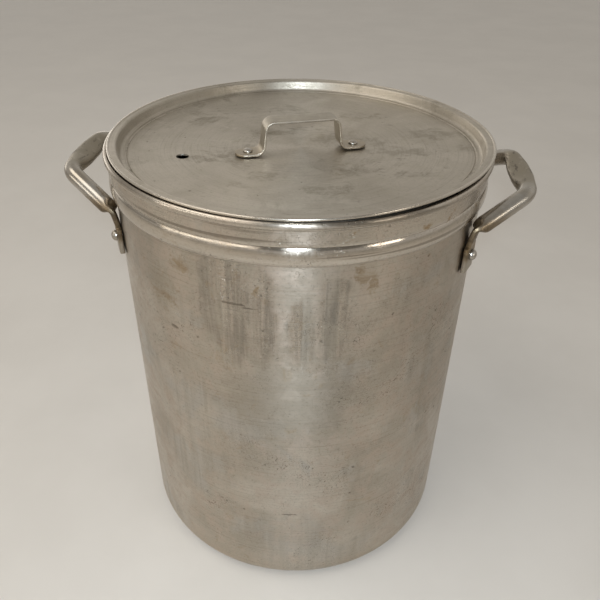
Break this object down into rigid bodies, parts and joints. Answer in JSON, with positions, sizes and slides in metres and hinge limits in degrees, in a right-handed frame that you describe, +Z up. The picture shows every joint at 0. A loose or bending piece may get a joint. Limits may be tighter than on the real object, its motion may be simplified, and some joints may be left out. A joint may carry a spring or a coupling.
{
  "type": "brew kettle",
  "caption": "Tall spun aluminium kettle with a rolled rim, a dished lid lifted by a strap handle, and riveted tube side handles.",
  "frame": {"origin": "centre of the kettle's flat underside", "axes": "+Z up along the kettle's axis; the side handles lie on +X and -X; -Y is the front"},
  "size_m": [0.3916, 0.3204, 0.413],
  "materials": {
    "shell": "spun, worn and stained by boiling",
    "lid_sheet": "dull, scratched and stained",
    "tube": "shiny tube, dull on the grip",
    "strap": "satin strap with worn edges",
    "rivet": "satin domed heads"
  },
  "bodies": {
    "kettle": {"pot_body": "shell", "left_handle": "tube", "right_handle": "tube", "left_handle_front_rivet": "rivet", "left_handle_rear_rivet": "rivet", "right_handle_front_rivet": "rivet", "right_handle_rear_rivet": "rivet"},
    "lid_set": {"lid": "lid_sheet", "lid_handle": "strap", "lid_handle_left_rivet": "rivet", "lid_handle_right_rivet": "rivet"}
  },
  "joints": [
    {"name": "lid_lift", "type": "slide", "parent": "kettle", "child": "lid_set", "axis": [0, 0, 1], "range_m": [0, 0.2]}
  ]
}
